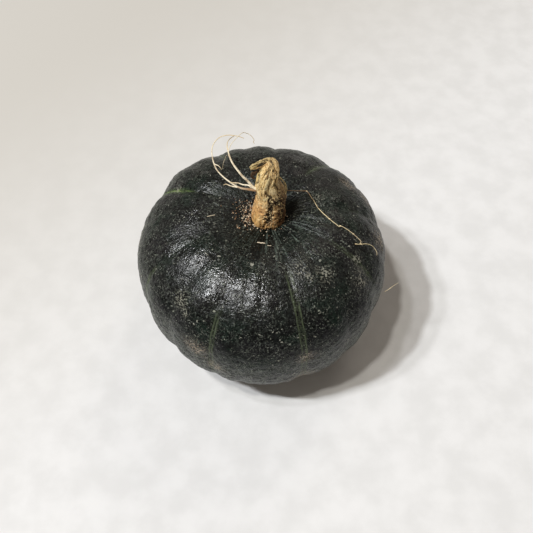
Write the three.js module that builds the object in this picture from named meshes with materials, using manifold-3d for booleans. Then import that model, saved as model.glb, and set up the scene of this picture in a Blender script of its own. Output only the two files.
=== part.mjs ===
// A mini kabocha squash as it was picked: a squat fruit with nine shallow lobes, its corky stem with a hooked
// tip, and the two dried tendrils that grew beside the stem. Millimetres, +Z up. The origin is on the surface
// that the fruit rests on, under the middle of the fruit, and the front is towards -Y.
import * as THREE from "three";
import { mergeVertices } from "three/addons/utils/BufferGeometryUtils.js";
import Module from "manifold-3d";

const wasm = await Module();
wasm.setup();

// Room between pieces that touch
const clearance = 0.3;

// Fruit: radius and level of its widest ring, and the half height from that ring to the uncut top and bottom
const girthRadius = 57.5;
const widestLevel = 40.1;
const halfHeight = 41.8;

// Squareness of the fruit's outline: 2 gives an ellipse, more gives a fuller shoulder
const sideFullness = 2.2;
const shoulderFullness = 3.05;
const underFullness = 2.3;

// The crown sinks round the stem, which grew a little off the middle
const crownDepth = 8.5;
const crownReach = 20;
const crownShift = new THREE.Vector2(2.6, 3.9);
const crownShiftReach = 28;

// The blossom end sinks too, round a small corky scar
const blossomDepth = 3.2;
const blossomReach = 11;
const scarRise = 0.9;
const scarRadius = 4;

// Each lobe runs from its furrow's azimuth, in degrees from +X, to the next one's, and swells by its own amount
const lobes = [
  { furrow: -158.5, swell: -0.6 },
  { furrow: -113.5, swell: 0.3 },
  { furrow: -71.5, swell: 0.3 },
  { furrow: -25, swell: 0 },
  { furrow: 9, swell: 0 },
  { furrow: 50, swell: 0.6 },
  { furrow: 82, swell: -0.2 },
  { furrow: 114, swell: 1.2 },
  { furrow: 152.5, swell: 0.4 },
];
const furrowDepth = 1.5;
const creaseDepth = 0.35;
const creaseWidth = 0.12;

// Facets of the fruit
const stepsPerLobe = 10;
const rowsDown = 44;
const poleCrowding = 0.6;

// Stem, from its foot in the crown to its hooked tip: x, y, z and radius
const stemStations = [
  [2.6, 3.9, 71.2, 6.6],
  [2.6, 3.9, 75.2, 7.8],
  [2.8, 3.9, 79.6, 7.6],
  [3.4, 3.9, 84.4, 7.1],
  [4.1, 3.9, 89.4, 6.4],
  [3.8, 3.9, 94.4, 5.7],
  [2.8, 4.0, 99.2, 4.8],
  [2.9, 4.3, 103.4, 4.1],
  [3.2, 4.9, 106.4, 3.1],
  [0.5, 5.6, 107.1, 2.2],
  [-2.3, 5.6, 105.8, 2.0],
  [-3.4, 5.2, 102.8, 1.8],
  [-2.4, 4.6, 100.6, 1.2],
];
const stemSides = 32;
const stemRings = 48;
const stemRidges = [
  { count: 7, height: 0.055, twist: 0.9, phase: 0.4 },
  { count: 11, height: 0.035, twist: -1.6, phase: 2.1 },
];

// Strands of the left tendril, from inside the stem to their tips: x, y, z and radius
const leftStrands = [
  [
    [-1.2, 4.0, 92.8, 0.7],
    [-3.2, 4.3, 93.9, 0.7],
    [-5.4, 5.5, 96.1, 0.65],
    [-8.8, 7.2, 98.6, 0.6],
    [-12.6, 11.7, 101.1, 0.45],
    [-14.5, 18.3, 102.6, 0.35],
    [-13.8, 22.3, 102.6, 0.3],
    [-11.1, 25.2, 102.1, 0.3],
  ],
  [
    [-1.2, 3.4, 92.5, 0.75],
    [-3.4, 3.6, 92.3, 0.75],
    [-8.1, 6.5, 90.1, 0.65],
    [-13.5, 12.1, 87.6, 0.5],
    [-17.9, 17.4, 86.9, 0.42],
    [-20.7, 23.0, 87.6, 0.38],
    [-21.4, 27.6, 89.1, 0.35],
    [-19.8, 31.2, 92.1, 0.32],
    [-15.9, 31.1, 95.6, 0.3],
    [-11.3, 28.8, 98.1, 0.3],
    [-7.1, 26.8, 98.6, 0.3],
  ],
  [
    [-13.4, 14.0, 101.9, 0.3],
    [-13.1, 17.5, 102.8, 0.3],
    [-11.4, 20.8, 103.4, 0.3],
    [-7.9, 25.9, 102.8, 0.3],
    [-4.3, 26.7, 100.6, 0.3],
    [-2.8, 25.0, 98.7, 0.3],
  ],
  [
    [-3.0, 4.1, 93.0, 0.35],
    [-5.4, 5.6, 93.4, 0.32],
    [-9.6, 8.6, 91.2, 0.3],
    [-13.0, 11.6, 87.9, 0.3],
  ],
  [
    [-9.0, 7.2, 89.7, 0.35],
    [-11.9, 8.3, 89.2, 0.32],
    [-15.9, 9.3, 89.2, 0.3],
  ],
];

// Right tendril: it leaves the back of the stem at free points, as above, and then lies along the rind on smooth
// routes, where a point is an angle down from the crown and an azimuth, in degrees
const rightRoot = [
  [6.4, 7.8, 81.4, 0.4],
  [10.4, 11.9, 79.4, 0.4],
];
const rightRoutes = [
  [
    [15.5, 42.5],
    [19.5, 34],
    [21.7, 14.1],
    [27, -5.4],
    [33.5, -8.5],
    [40, -9.4],
    [48.5, -13.4],
  ],
  [
    [43.7, -17.3],
    [48.5, -13.4],
    [54, -11.1],
    [60.5, -10.1],
    [66.7, -10.7],
  ],
];
const rightRadius = 0.35;
const stationsPerLeg = 3;
const tendrilSides = 8;
const ringsPerFreeLeg = 3;

const radians = THREE.MathUtils.degToRad;

// Half of the fruit's outline: distance from the axis and height over the widest ring, at an angle from the top
function outline(polar) {
  const reach = girthRadius * Math.abs(Math.sin(polar)) ** (2 / sideFullness);
  const rise = Math.abs(Math.cos(polar));
  if (polar < Math.PI / 2) {
    const sunk = crownDepth * Math.exp(-((reach / crownReach) ** 2));
    return new THREE.Vector2(reach, halfHeight * rise ** (2 / shoulderFullness) - sunk);
  }
  const sunk = blossomDepth * Math.exp(-((reach / blossomReach) ** 2));
  const scar = scarRise * Math.exp(-((reach / scarRadius) ** 4));
  return new THREE.Vector2(reach, -halfHeight * rise ** (2 / underFullness) + sunk - scar);
}

// Outward unit vector of the outline, in its own plane
function outlineNormal(polar) {
  const step = 1e-4;
  const run = outline(polar + step).sub(outline(polar - step));
  return new THREE.Vector2(-run.y, run.x).normalize();
}

// Azimuth at which a lobe begins, counting on past the last one
function lobeStart(index) {
  return lobes[index % lobes.length].furrow + (index < lobes.length ? 0 : 360);
}

// How far the rind stands off the plain outline: up over the lobe's middle, down in its furrows and its crease
function lobeRelief(polar, azimuth) {
  const first = lobeStart(0);
  const turned = first + THREE.MathUtils.euclideanModulo(azimuth - first, 360);
  let index = 0;
  while (index < lobes.length - 1 && turned >= lobeStart(index + 1)) index++;
  const across = (turned - lobeStart(index)) / (lobeStart(index + 1) - lobeStart(index));
  const fade = Math.sin(polar);
  const swell = lobes[index].swell * Math.sin(Math.PI * across) ** 2 * fade;
  const furrow = furrowDepth * Math.abs(2 * across - 1) ** 3 * fade ** 0.8;
  const crease = creaseDepth * Math.exp(-(((across - 0.5) / creaseWidth) ** 2)) * fade;
  return swell - furrow - crease;
}

// A point of the rind, at an angle down from the crown and an azimuth in degrees, lifted off it by some distance
function rindPoint(polar, azimuth, lift = 0) {
  const plain = outline(polar);
  const normal = outlineNormal(polar);
  const stand = polar < 1e-6 || polar > Math.PI - 1e-6 ? 0 : lobeRelief(polar, azimuth) + lift;
  const flat = plain.addScaledVector(normal, stand);
  const turn = radians(azimuth);
  const shift = polar < Math.PI / 2 ? Math.exp(-((flat.x / crownShiftReach) ** 2)) : 0;
  return new THREE.Vector3(
    flat.x * Math.cos(turn) + crownShift.x * shift,
    flat.x * Math.sin(turn) + crownShift.y * shift,
    Math.max(widestLevel + flat.y, 0),
  );
}

// A closed geometry as a solid that can be cut and joined
function solidOf(geometry) {
  const bare = geometry.clone().deleteAttribute("normal").deleteAttribute("uv");
  const merged = mergeVertices(bare);
  return new wasm.Manifold(
    new wasm.Mesh({
      numProp: 3,
      vertProperties: merged.getAttribute("position").array,
      triVerts: new Uint32Array(merged.index.array),
    }),
  );
}

// A solid as a geometry with its normals
function geometryOf(solid) {
  const mesh = solid.getMesh();
  const geometry = new THREE.BufferGeometry();
  geometry.setAttribute("position", new THREE.BufferAttribute(mesh.vertProperties, 3));
  geometry.setIndex(new THREE.BufferAttribute(mesh.triVerts, 1));
  geometry.computeVertexNormals();
  return geometry;
}

// A closed rod through its stations, each x, y, z and radius. Relief gives the share by which the radius varies
// at a turn round the rod and a place along it, and the margin thickens and lengthens the rod.
function rod(stations, sides, rings, relief = () => 0, margin = 0) {
  const points = stations.map(([x, y, z]) => new THREE.Vector3(x, y, z));
  const path = new THREE.CatmullRomCurve3(points, false, "catmullrom");
  const width = new THREE.SplineCurve(stations.map((station, i) => new THREE.Vector2(i, station[3])));
  const geometry = new THREE.CylinderGeometry(1, 1, 1, sides, rings);
  const position = geometry.getAttribute("position");
  const frames = [];
  const side = new THREE.Vector3(1, 0, 0);
  for (let ring = 0; ring <= rings; ring++) {
    const along = path.getTangent(ring / rings);
    side.addScaledVector(along, -side.dot(along)).normalize();
    const end = ring === 0 ? -margin : ring === rings ? margin : 0;
    const centre = path.getPoint(ring / rings).addScaledVector(along, end);
    const radius = width.getPoint(ring / rings).y + margin;
    frames.push({ centre, radius, side: side.clone(), across: along.clone().cross(side) });
  }
  for (let i = 0; i < position.count; i++) {
    const ring = Math.round((position.getY(i) + 0.5) * rings);
    const { centre, radius, side: first, across: second } = frames[ring];
    const grown = radius * (1 + relief(Math.atan2(position.getX(i), position.getZ(i)), ring / rings));
    const place = centre
      .clone()
      .addScaledVector(first, position.getZ(i) * grown)
      .addScaledVector(second, position.getX(i) * grown);
    position.setXYZ(i, place.x, place.y, place.z);
  }
  return solidOf(geometry);
}

// The fruit in one piece: a ball whose points move to the rind, with rows crowded towards its two ends
function fruitSolid() {
  const geometry = new THREE.SphereGeometry(1, lobes.length * stepsPerLobe, rowsDown);
  const position = geometry.getAttribute("position");
  const uv = geometry.getAttribute("uv");
  for (let i = 0; i < position.count; i++) {
    const down = 1 - uv.getY(i);
    const polar = Math.PI * (down - (poleCrowding * Math.sin(2 * Math.PI * down)) / (2 * Math.PI));
    const place = uv.getX(i) * lobes.length;
    const index = THREE.MathUtils.clamp(Math.floor(place), 0, lobes.length - 1);
    const azimuth = THREE.MathUtils.lerp(lobeStart(index), lobeStart(index + 1), place - index);
    const point = rindPoint(polar, azimuth);
    position.setXYZ(i, point.x, point.y, point.z);
  }
  return solidOf(geometry);
}

// Lengthwise corky ridges of the stem, dying out where the rod ends
function corkyRelief(turn, along) {
  const fade = Math.min(1, 12 * along, 6 * (1 - along));
  let sum = 0;
  for (const { count, height, twist, phase } of stemRidges) {
    sum += height * Math.cos(count * (turn + twist * along) + phase);
  }
  return sum * fade;
}

function stemSolid(margin = 0) {
  return rod(stemStations, stemSides, stemRings, corkyRelief, margin);
}

// Strands joined into one tendril, with a number of rings from each station to the next
function tendrilSolid(strands, ringsPerLeg, margin = 0) {
  return strands
    .map((stations) => rod(stations, tendrilSides, ringsPerLeg * (stations.length - 1), undefined, margin))
    .reduce((whole, strand) => whole.add(strand));
}

function leftTendril(margin = 0) {
  return tendrilSolid(leftStrands, ringsPerFreeLeg, margin);
}

// Stations just clear of the rind, along a route's smooth curve
function laidStations(route) {
  const curve = new THREE.SplineCurve(route.map(([polar, azimuth]) => new THREE.Vector2(polar, azimuth)));
  return curve.getPoints(stationsPerLeg * (route.length - 1)).map((point) => {
    const place = rindPoint(radians(point.x), point.y, rightRadius + clearance);
    return [...place, rightRadius];
  });
}

// The first strand starts from the stem, and the second one crosses its end
function rightTendril(margin = 0) {
  const [first, ...others] = rightRoutes.map(laidStations);
  return tendrilSolid([[...rightRoot, ...first], ...others], 1, margin);
}

// Finishes: a waxy dark rind, dry cork, and two dried tendrils
const rind = new THREE.MeshStandardMaterial({ color: 0x232b27, roughness: 0.5, metalness: 0 });
const cork = new THREE.MeshStandardMaterial({ color: 0xb08a50, roughness: 0.85, metalness: 0 });
const paleTendril = new THREE.MeshStandardMaterial({ color: 0xcdb98c, roughness: 0.8, metalness: 0 });
const brownTendril = new THREE.MeshStandardMaterial({ color: 0x9c7a4c, roughness: 0.8, metalness: 0 });

function piece(name, solid, material) {
  const mesh = new THREE.Mesh(geometryOf(solid), material);
  mesh.name = name;
  return mesh;
}

// The stem's foot sits in a socket of the fruit, and each tendril's root in a socket of the stem
const squash = new THREE.Group();
const fruit = fruitSolid().subtract(stemSolid(clearance));
const stem = stemSolid().subtract(leftTendril(clearance)).subtract(rightTendril(clearance));
squash.add(
  piece("fruit", fruit, rind),
  piece("stem", stem, cork),
  piece("tendril_left", leftTendril(), paleTendril),
  piece("tendril_right", rightTendril(), brownTendril),
);

export default squash;
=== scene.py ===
"""A mini kabocha squash as it was picked: dark waxy fruit, corky stem with a hooked tip, and dried tendrils.

Lengths are millimetres until a mesh or a light is made, and angles are degrees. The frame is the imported
part's: +Z up, the origin under the middle of the fruit where it rests, and the front towards -Y.
"""

import math

import bpy
import numpy as np
from mathutils import Matrix, Vector


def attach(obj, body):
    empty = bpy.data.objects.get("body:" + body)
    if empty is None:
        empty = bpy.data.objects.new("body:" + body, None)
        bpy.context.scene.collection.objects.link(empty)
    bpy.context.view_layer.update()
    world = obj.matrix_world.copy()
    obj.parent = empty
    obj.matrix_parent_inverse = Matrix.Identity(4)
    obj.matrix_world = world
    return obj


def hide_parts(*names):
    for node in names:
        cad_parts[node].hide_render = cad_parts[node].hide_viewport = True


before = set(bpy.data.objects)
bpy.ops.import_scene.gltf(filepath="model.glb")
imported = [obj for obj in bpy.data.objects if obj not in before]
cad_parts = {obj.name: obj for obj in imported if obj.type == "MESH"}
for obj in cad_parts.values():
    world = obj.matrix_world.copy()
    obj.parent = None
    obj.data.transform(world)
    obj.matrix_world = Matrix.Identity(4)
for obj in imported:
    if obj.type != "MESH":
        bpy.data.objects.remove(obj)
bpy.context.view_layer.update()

MM = 0.001

# Fruit: widest ring, its level, and the half height from it to the uncut top and bottom
GIRTH_RADIUS = 57.5
WIDEST_LEVEL = 40.1
HALF_HEIGHT = 41.8

# Squareness of the fruit's outline: 2 gives an ellipse, more gives a fuller shoulder
SIDE_FULLNESS = 2.2
SHOULDER_FULLNESS = 3.05
UNDER_FULLNESS = 2.3

# The crown sinks round the stem, which grew a little off the middle
CROWN_DEPTH = 8.5
CROWN_REACH = 20
CROWN_SHIFT = (2.6, 3.9)
CROWN_SHIFT_REACH = 28

# The blossom end sinks too, round a small corky scar
BLOSSOM_DEPTH = 3.2
BLOSSOM_REACH = 11
SCAR_RISE = 0.9
SCAR_RADIUS = 4

# Furrows: azimuth, swell of the lobe after it, and its pale stripe's strength, first and last angle from the
# crown, half the distance between its two lines, and its greenness
FURROWS = np.array([
    (-158.5, -0.6, 0.5, 60, 115, 0.5, 0.4),
    (-113.5, 0.3, 0.85, 52, 118, 0.75, 0.05),
    (-71.5, 0.3, 0.9, 30, 110, 1.15, 0.1),
    (-25, 0.0, 0.5, 30, 70, 0.75, 0.1),
    (9, 0.0, 0.1, 40, 95, 0.5, 0.2),
    (50, 0.6, 1.5, 32, 86, 0.1, 0.0),
    (82, -0.2, 0.25, 50, 100, 0.4, 0.3),
    (114, 1.2, 0.4, 45, 105, 0.5, 0.4),
    (152.5, 0.4, 1.25, 38, 88, 0.1, 1.0),
])
LOBE_STARTS, SWELLS, STRIPES, STRIPE_STARTS, STRIPE_ENDS, LINE_SPREADS, GREENS = FURROWS.T
LOBE_WIDTHS = np.diff(np.append(LOBE_STARTS, LOBE_STARTS[0] + 360))
FURROW_DEPTH = 1.5
CREASE_DEPTH = 0.35
CREASE_WIDTH = 0.12

# Minor creases between the furrows: azimuth, depth, half width in degrees
MINOR_CREASES = (
    (-138, 0.8, 4.0),
    (-101, 0.65, 3.0),
    (-82, 0.5, 3.0),
    (-48, 0.4, 3.0),
    (-8, 0.35, 3.0),
    (32, 0.6, 3.0),
    (65, 0.35, 3.0),
    (99, 0.6, 4.0),
    (130, 0.3, 3.5),
    (170, 0.5, 4.0),
)

# Low bosses on the shoulder, whose wax is rubbed smooth: angle from the crown, azimuth, and radius
BOSSES = ((32, -149, 6.0), (33.5, -127, 6.5), (33, -109, 5.0), (31, -93.5, 4.5), (40, -90.5, 4.5),
          (44, -163, 5.0), (46, -121, 4.0), (29, 176, 5.0), (33, 140, 5.0), (36, 64, 5.0), (34, 16, 5.0))
BOSS_HEIGHT = 0.4

# Grid of the fruit
COLUMNS_PER_LOBE = 51
FRUIT_ROWS = 214

# Stem, from its foot in the crown to its crest: x, y, z and radius
STEM_STATIONS = (
    (2.9, 3.5, 71.2, 6.4),
    (3.0, 3.2, 75.2, 7.3),
    (3.4, 3.6, 79.6, 7.0),
    (3.9, 3.9, 84.4, 6.6),
    (4.2, 3.9, 89.4, 6.1),
    (3.1, 3.9, 94.4, 5.2),
    (2.8, 4.1, 98.8, 4.5),
    (3.3, 4.6, 102.4, 4.0),
    (3.9, 5.1, 105.4, 3.2),
    (3.9, 5.6, 107.7, 2.3),
    (3.2, 5.9, 109.2, 1.2),
)
STEM_LENGTH = 39
STEM_SIDES = 220
STEM_RINGS = 350

# Shreds of dried skin and fibre at the stem's top: kind, flatness, and stations of x, y, z and radius
STEM_SHREDS = (
    # The hook's upper strip, its lower one, the dark gap between them, and torn fibres in it
    ("straw", 0.1, ((3.6, 5.8, 108.6, 1.0), (2.0, 5.8, 109.1, 0.65), (0.8, 5.9, 108.4, 0.5),
        (-0.4, 5.9, 107.6, 0.55), (-1.6, 5.9, 106.7, 0.65), (-3.2, 5.8, 105.6, 0.6),
        (-4.5, 5.6, 104.5, 0.4))),
    ("gold_and_lit", 0.1, ((2.8, 4.6, 107.5, 0.7), (1.2, 4.9, 106.9, 0.45), (-0.2, 5.1, 106.0, 0.5),
        (-1.6, 5.3, 105.1, 0.5), (-3.0, 5.4, 104.3, 0.55), (-4.1, 5.5, 103.9, 0.4))),
    ("pit", 0.2, ((1.9, 5.0, 107.7, 0.25), (0.8, 5.0, 107.3, 0.42), (-0.4, 5.0, 106.7, 0.4),
        (-1.6, 5.0, 106.1, 0.2))),
    ("olive", 0.1, ((-0.6, 5.5, 106.6, 0.3), (-1.8, 5.4, 105.8, 0.5), (-3.1, 5.3, 105.0, 0.55),
        (-4.2, 5.1, 104.2, 0.3))),
    # The brown curl under the hook
    ("brown_and_shade", 0.35, ((-0.8, 5.3, 103.4, 0.5), (-2.0, 5.0, 102.6, 0.6), (-3.1, 5.0, 102.0, 0.6),
        (-3.6, 4.8, 101.2, 0.55), (-3.6, 4.6, 100.0, 0.5), (-2.9, 4.4, 99.2, 0.42),
        (-2.3, 4.3, 99.4, 0.25))),
    ("brown_and_shade", 0.2, ((-2.4, 5.3, 102.2, 0.3), (-2.6, 5.1, 101.2, 0.36), (-2.4, 4.8, 100.2, 0.22))),
    # Skin down the left edge
    ("olive", 0.3, ((1.4, 3.6, 105.8, 0.7), (-0.1, 3.9, 103.4, 0.7), (-0.9, 4.3, 100.6, 0.75),
        (-1.5, 4.4, 97.8, 0.65), (-1.7, 4.4, 95.0, 0.6), (-1.4, 4.3, 92.0, 0.4))),
    # Skin that stands off the right side
    ("straw", 0.2, ((6.4, 3.6, 101.8, 0.25), (7.9, 3.7, 100.1, 0.3), (9.2, 3.5, 98.4, 0.34),
        (10.1, 3.3, 96.0, 0.34), (10.4, 3.2, 93.6, 0.36), (10.0, 3.1, 91.2, 0.4), (9.2, 3.0, 88.0, 0.4))),
    # A torn chip that stands out on the front, and a pale rib over it
    ("cream", 0.1, ((2.9, -2.4, 95.8, 0.25), (2.3, -2.8, 94.8, 0.5), (1.4, -2.8, 94.2, 0.5),
        (0.5, -2.5, 94.4, 0.25))),
    ("cream", 0.2, ((3.4, 0.7, 104.8, 0.25), (2.9, 0.0, 102.8, 0.5), (2.2, -0.7, 100.4, 0.55),
        (1.6, -1.2, 98.2, 0.3))),
)

# Strands of the left tendril, from inside the stem to their tips: x, y, z and radius
LEFT_STRANDS = (
    ((-0.6, 3.9, 92.6, 0.8), (-3.2, 4.2, 93.6, 0.6), (-5.4, 5.5, 96.0, 0.48), (-8.4, 7.2, 98.7, 0.44),
     (-12.0, 11.7, 101.2, 0.34), (-13.9, 18.3, 102.6, 0.22), (-13.4, 22.3, 102.6, 0.15),
     (-11.1, 25.2, 102.1, 0.12)),
    ((-0.8, 3.6, 92.4, 0.8), (-3.4, 3.8, 92.5, 0.6), (-5.6, 4.9, 91.5, 0.5), (-8.1, 6.5, 90.1, 0.42),
     (-10.8, 9.1, 88.6, 0.36), (-13.5, 12.1, 87.6, 0.33), (-15.8, 14.7, 87.1, 0.31),
     (-17.9, 17.4, 86.9, 0.28), (-19.5, 19.8, 87.1, 0.3), (-20.7, 23.0, 87.6, 0.26),
     (-21.4, 26.7, 88.6, 0.23), (-21.2, 29.7, 90.1, 0.21), (-19.8, 31.2, 92.1, 0.2),
     (-17.9, 31.5, 94.1, 0.18), (-15.9, 31.1, 95.6, 0.17), (-13.6, 30.1, 97.1, 0.16),
     (-11.3, 28.8, 98.1, 0.15), (-9.1, 27.8, 98.6, 0.13), (-7.1, 26.8, 98.6, 0.1)),
    ((-13.4, 14.0, 101.9, 0.16), (-13.1, 17.5, 102.8, 0.15), (-11.4, 20.8, 103.4, 0.14),
     (-7.9, 25.9, 102.8, 0.14), (-5.8, 26.9, 101.6, 0.14), (-4.3, 26.7, 100.6, 0.13),
     (-3.2, 25.9, 99.6, 0.13), (-2.8, 25.3, 98.9, 0.12), (-3.2, 24.7, 98.6, 0.12), (-2.6, 24.3, 98.1, 0.1)),
    ((-1.6, 4.0, 93.1, 0.4), (-4.0, 4.4, 93.3, 0.36), (-5.2, 5.4, 93.5, 0.32), (-7.6, 6.7, 92.4, 0.27),
     (-9.8, 8.7, 91.0, 0.24), (-12.1, 10.5, 88.9, 0.22), (-13.4, 12.0, 87.7, 0.18)),
    ((-8.1, 6.6, 90.0, 0.3), (-9.5, 7.6, 89.4, 0.3), (-11.7, 8.3, 89.1, 0.26), (-13.4, 9.1, 88.9, 0.22),
     (-14.9, 9.7, 89.1, 0.2), (-16.0, 9.2, 89.1, 0.12)),
    ((-20.6, 22.7, 87.6, 0.14), (-19.7, 21.3, 88.1, 0.22), (-18.5, 20.3, 88.6, 0.2),
     (-17.6, 19.4, 88.3, 0.14), (-17.0, 18.8, 87.6, 0.08)),
    ((-14.2, 14.6, 102.0, 0.09), (-14.9, 14.2, 100.1, 0.08), (-15.7, 13.6, 98.1, 0.08),
     (-16.1, 13.1, 95.1, 0.06)),
)

# Right tendril: free points behind the stem, then routes on the rind as angle from the crown and azimuth
RIGHT_ROOT = ((8.6, 6.6, 87.6), (11.2, 9.0, 85.2), (14.2, 11.4, 81.9), (17.0, 13.4, 79.2))
RIGHT_ROUTE = ((20.6, 33.6), (20.9, 30.0), (20.9, 20.8), (22.0, 8.8), (24.4, 0.4), (27.5, -4.4),
               (32.8, -8.6), (34.4, -7.6), (40, -9.4), (43.6, -11.0), (47.3, -12.6), (46.9, -14.6))
RIGHT_BRANCH = ((43.7, -17.3), (46.0, -15.6), (48.5, -13.9), (52, -11.8), (56.0, -10.6), (59.4, -10.6),
                (61.6, -11.6), (62.4, -13.4))
RIGHT_RADIUS = 0.155
CLEARANCE = 0.08

# Pale marks on the rind: angle from the crown, azimuth and radius
BLOTCHES = ((57, -135, 3.2), (58, -31, 4.0), (49, -24, 2.2), (30, -61, 2.6), (39, -47.5, 3.0),
            (36, -57, 1.6), (62, -129, 1.5), (47, 152, 1.6), (24, 20, 2.2), (70, 95, 2.4), (52, 120, 2.0))
TAN_PATCHES = ((83, -121, 4.5), (90, -112, 3.5), (84, -71, 3.5), (103, -72, 5.5), (53, 31, 4.0),
               (64, 22, 4.0), (67, -2, 4.5), (96, 60, 5.0), (80, 175, 5.0))

# Camera: the photograph's view from the front and above, its middle a little off the fruit's
CAMERA_ELEVATION = 58
CAMERA_DISTANCE = 334
CAMERA_NEAREST = 10
LENS = 47.28
AIM_RIGHT = 2.147
AIM_UP = -1.097


def put(name, data):
    """A new object in the scene."""
    made = bpy.data.objects.new(name, data)
    bpy.context.scene.collection.objects.link(made)
    return made


def make_camera():
    """Looks down from the front at a place to the right of the fruit's middle and below it."""
    tilt = math.radians(CAMERA_ELEVATION)
    back = Vector((0, -math.cos(tilt), math.sin(tilt)))
    up = Vector((0, math.sin(tilt), math.cos(tilt)))
    middle = Vector((0, 0, WIDEST_LEVEL))
    aim = middle + Vector((AIM_RIGHT, 0, 0)) + up * AIM_UP
    place = middle + back * CAMERA_DISTANCE
    data = bpy.data.cameras.new("camera")
    data.lens = LENS
    data.clip_start = CAMERA_NEAREST * MM
    camera = put("camera", data)
    camera.location = place * MM
    camera.rotation_euler = (aim - place).to_track_quat("-Z", "Y").to_euler()
    bpy.context.scene.camera = camera


make_camera()


# Shapes as whole arrays

GRADIENT_COUNT = 4096
GRADIENTS = np.random.default_rng(7).normal(size=(GRADIENT_COUNT, 3))
GRADIENTS /= np.linalg.norm(GRADIENTS, axis=1, keepdims=True)
# Large numbers that mix a lattice corner's counts, and the seed, into one key
CORNER_KEYS = (73856093, 19349663, 83492791)
SEED_KEY = 2654435
NOISE_GAIN = 1.6
THINNEST = 0.02


def noise(points, cell, seed):
    """Smooth noise from about -1 to 1: random slopes at a cubic lattice's corners, blended between them."""
    place = np.asarray(points, float) / cell
    corner = np.floor(place).astype(np.int64)
    inside = place - corner
    fade = inside**3 * (inside * (inside * 6 - 15) + 10)
    total = np.zeros(place.shape[:-1])
    for offset in np.ndindex(2, 2, 2):
        keys = (corner + offset) * CORNER_KEYS
        key = keys[..., 0] ^ keys[..., 1] ^ keys[..., 2] ^ (seed * SEED_KEY)
        slope = GRADIENTS[key % GRADIENT_COUNT]
        weight = np.prod(np.where(offset, fade, 1 - fade), axis=-1)
        total += weight * np.sum(slope * (inside - offset), axis=-1)
    return total * NOISE_GAIN


def crests(points, cell, seed):
    """Noise folded into sharp crests: 1 on its zero lines, falling to 0."""
    return 1 - np.minimum(1, 2 * np.abs(noise(points, cell, seed)))


def bell(distance, width):
    """A round bump: e to the minus square of the distance over the width."""
    return np.exp(-((distance / width) ** 2))


def smooth_step(value, start, end):
    """0 before start, 1 past end, and an S curve between them."""
    share = np.clip((value - start) / (end - start), 0, 1)
    return share * share * (3 - 2 * share)


def apart(turn, middle, circle=2 * math.pi):
    """How far a turn is from a middle one, at most half a circle."""
    return (turn - middle + circle / 2) % circle - circle / 2


def spline(stations, steps, clamped=False):
    """Catmull-Rom curve: each leg is a cubic, its end slopes half the chord between the two neighbours."""
    stations = np.asarray(stations, float)
    first = stations[:1] if clamped else 2 * stations[:1] - stations[1:2]
    last = stations[-1:] if clamped else 2 * stations[-1:] - stations[-2:-1]
    padded = np.concatenate([first, stations, last])
    place = np.linspace(0, len(stations) - 1, steps + 1)
    leg = np.minimum(place.astype(int), len(stations) - 2)
    t = (place - leg)[:, None]
    a, b, c, d = (padded[leg + k] for k in range(4))
    return 0.5 * (2 * b + (c - a) * t + (2 * a - 5 * b + 4 * c - d) * t**2 + (3 * b - a - 3 * c + d) * t**3)


def carried_frames(path):
    """Unit vectors across the path: the first starts at +X and turns as little as it can."""
    along = np.gradient(path, axis=0)
    along /= np.linalg.norm(along, axis=1, keepdims=True)
    sides = np.empty_like(path)
    side = np.array((1.0, 0.0, 0.0))
    for ring, direction in enumerate(along):
        side = side - side @ direction * direction
        side /= np.linalg.norm(side)
        sides[ring] = side
    return sides, np.cross(along, sides)


def tube_grid(sides, rings):
    """Turn, in radians from the first side, and place along, from 0 to 1, of a tube's points."""
    turn = np.linspace(-math.pi, math.pi, sides, endpoint=False)
    return turn[None, :], np.linspace(0, 1, rings + 1)[:, None]


def rod(stations, sides, rings, relief):
    """A tube round the spline through its stations: each ring is a circle of its radius plus the relief."""
    stations = np.asarray(stations, float)
    path = spline(stations[:, :3], rings)
    radius = np.maximum(spline(stations[:, 3:], rings, clamped=True), THINNEST)
    first, second = carried_frames(path)
    turn, along = tube_grid(sides, rings)
    grown = radius + relief(turn, along)
    spread = first[:, None] * np.cos(turn)[..., None] + second[:, None] * np.sin(turn)[..., None]
    return path[:, None] + spread * grown[..., None]


def drum_points(turn, along, radius, length):
    """Points on a drum, for noise that follows a surface: their height is the length along it."""
    parts = np.broadcast_arrays(radius * np.cos(turn), radius * np.sin(turn), length * along)
    return np.stack(parts, axis=-1)


def grid_faces(rows, columns, start):
    """Quads between the rings of a tube, and fans to the points that close its ends."""
    ring = np.arange(columns)
    after = np.roll(ring, -1)
    low = start + np.arange(rows - 1)[:, None] * columns
    high = low + columns
    quads = np.stack([low + ring, low + after, high + after, high + ring], axis=-1).reshape(-1, 4)
    bottom = start + rows * columns
    top = start + (rows - 1) * columns
    first_fan = np.stack([np.full(columns, bottom), start + after, start + ring], axis=-1)
    last_fan = np.stack([np.full(columns, bottom + 1), top + ring, top + after], axis=-1)
    return quads.tolist() + first_fan.tolist() + last_fan.tolist()


def closed(grid):
    """A grid's values row by row, then its first and last rows' means, for the points that close it."""
    rows = grid.reshape(*grid.shape[:2], -1)
    return np.concatenate([rows.reshape(-1, rows.shape[2]), rows[[0, -1]].mean(axis=1)])


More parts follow.
